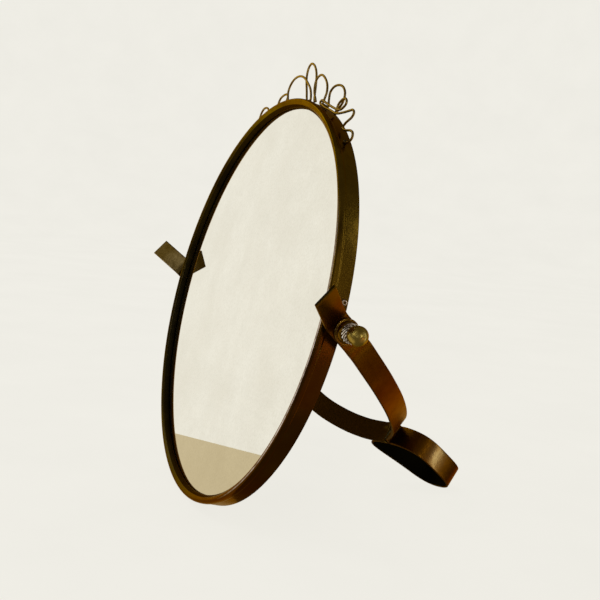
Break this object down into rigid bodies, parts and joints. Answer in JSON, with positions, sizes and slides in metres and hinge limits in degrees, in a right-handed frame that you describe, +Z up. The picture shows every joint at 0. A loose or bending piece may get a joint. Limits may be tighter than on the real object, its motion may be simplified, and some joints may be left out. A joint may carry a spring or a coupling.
{
  "type": "tilting table mirror",
  "caption": "Round brass-rimmed mirror that tilts between the arms of a bent strap stand ending in a loop handle, with a looped wire crown.",
  "frame": {"origin": "middle of the footprint on the table, which is the bounding box's bottom centre", "axes": "+X along the pivot axis to the viewer's right, +Y from the viewer towards the strap's rear loop, +Z up"},
  "size_m": [0.244, 0.1514, 0.2164],
  "materials": {
    "band_brass": "aged satin",
    "strap_brass": "dark aged satin",
    "knob_brass": "worn satin",
    "wire_brass": "aged satin",
    "plate_brass": "plain rolled",
    "solder": "dull cast bead",
    "silvered_glass": "polished",
    "card": "grey-brown board"
  },
  "bodies": {
    "stand": {"fork_strap": "strap_brass", "neck_solder": "solder"},
    "mirror": {"back_plate": "plate_brass", "backing_card": "card", "bracket_rivet_left": "knob_brass", "bracket_rivet_right": "knob_brass", "crown_solder_left": "solder", "crown_solder_right": "solder", "crown_wire": "wire_brass", "keeper_wire_lower": "plate_brass", "keeper_wire_upper": "plate_brass", "mirror_glass": "silvered_glass", "pivot_bracket_left": "plate_brass", "pivot_bracket_right": "plate_brass", "rim_band": "band_brass", "spacer_sleeve_left": "knob_brass", "spacer_sleeve_right": "knob_brass"},
    "washer_right": {"cup_washer_right": "knob_brass"},
    "screw_right": {"knurled_collar_right": "knob_brass", "thumb_screw_right": "knob_brass"},
    "washer_left": {"cup_washer_left": "knob_brass"},
    "screw_left": {"knurled_collar_left": "knob_brass", "thumb_screw_left": "knob_brass"}
  },
  "joints": [
    {"name": "mirror_tilt", "type": "hinge", "parent": "stand", "child": "mirror", "pos_m": [0, -0.04851, 0.0999], "axis": [1, 0, 0], "range_deg": [-100, 40]},
    {"name": "washer_slide_right", "type": "slide", "parent": "mirror", "child": "washer_right", "axis": [1, 0, 0], "range_m": [0, 0.001]},
    {"name": "screw_turn_right", "type": "hinge", "parent": "washer_right", "child": "screw_right", "pos_m": [0.1, -0.04851, 0.0999], "axis": [1, 0, 0], "range_deg": [0, 720]},
    {"name": "washer_slide_left", "type": "slide", "parent": "mirror", "child": "washer_left", "axis": [-1, 0, 0], "range_m": [0, 0.001]},
    {"name": "screw_turn_left", "type": "hinge", "parent": "washer_left", "child": "screw_left", "pos_m": [-0.1, -0.04851, 0.0999], "axis": [-1, 0, 0], "range_deg": [0, 720]}
  ],
  "couplings": [
    {"joint": "screw_turn_right", "follows": "washer_slide_right", "rad_per_m": 12560},
    {"joint": "screw_turn_left", "follows": "washer_slide_left", "rad_per_m": 12560}
  ]
}
